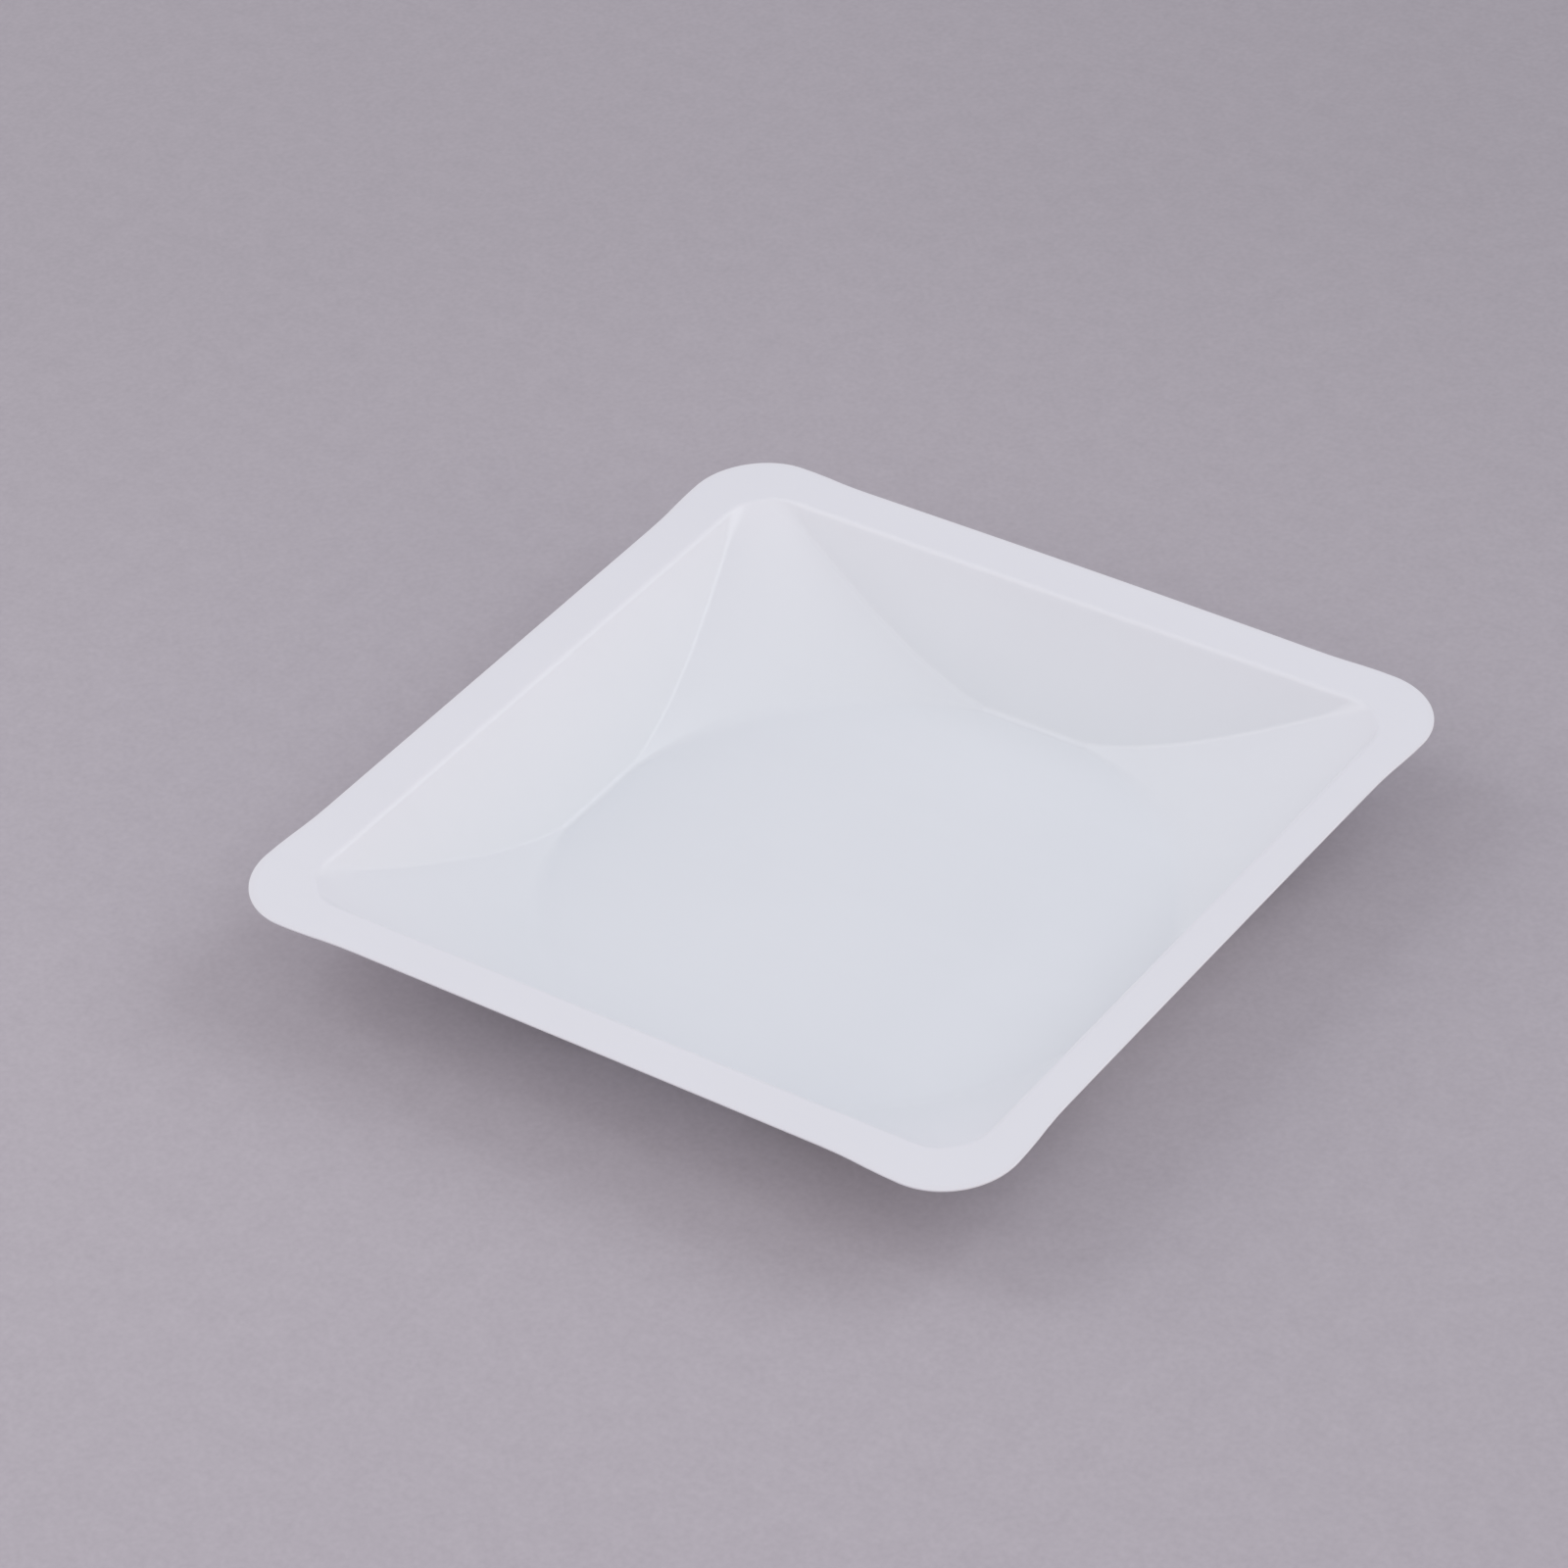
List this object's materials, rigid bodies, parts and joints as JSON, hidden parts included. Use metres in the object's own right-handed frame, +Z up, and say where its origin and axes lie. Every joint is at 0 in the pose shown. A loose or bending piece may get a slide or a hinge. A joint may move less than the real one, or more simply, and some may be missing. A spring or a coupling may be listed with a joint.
{
  "type": "square weighing dish",
  "caption": "Shallow square dish of thin white plastic, with a level flange, leaning side panels, conical corners and a flat round floor, for weighing and mixing casting resin.",
  "frame": {"origin": "centre of the floor's underside, on the surface that the dish stands on", "axes": "+Z up, out of the well; +X and +Y square to the sides, which are all alike, so a quarter turn about Z changes nothing"},
  "size_m": [0.14, 0.14, 0.0196],
  "materials": {
    "white_plastic": "fine satin, white with a cool cast, faintly translucent at the thin edges"
  },
  "bodies": {
    "root": {"dish": "white_plastic"}
  },
  "joints": []
}
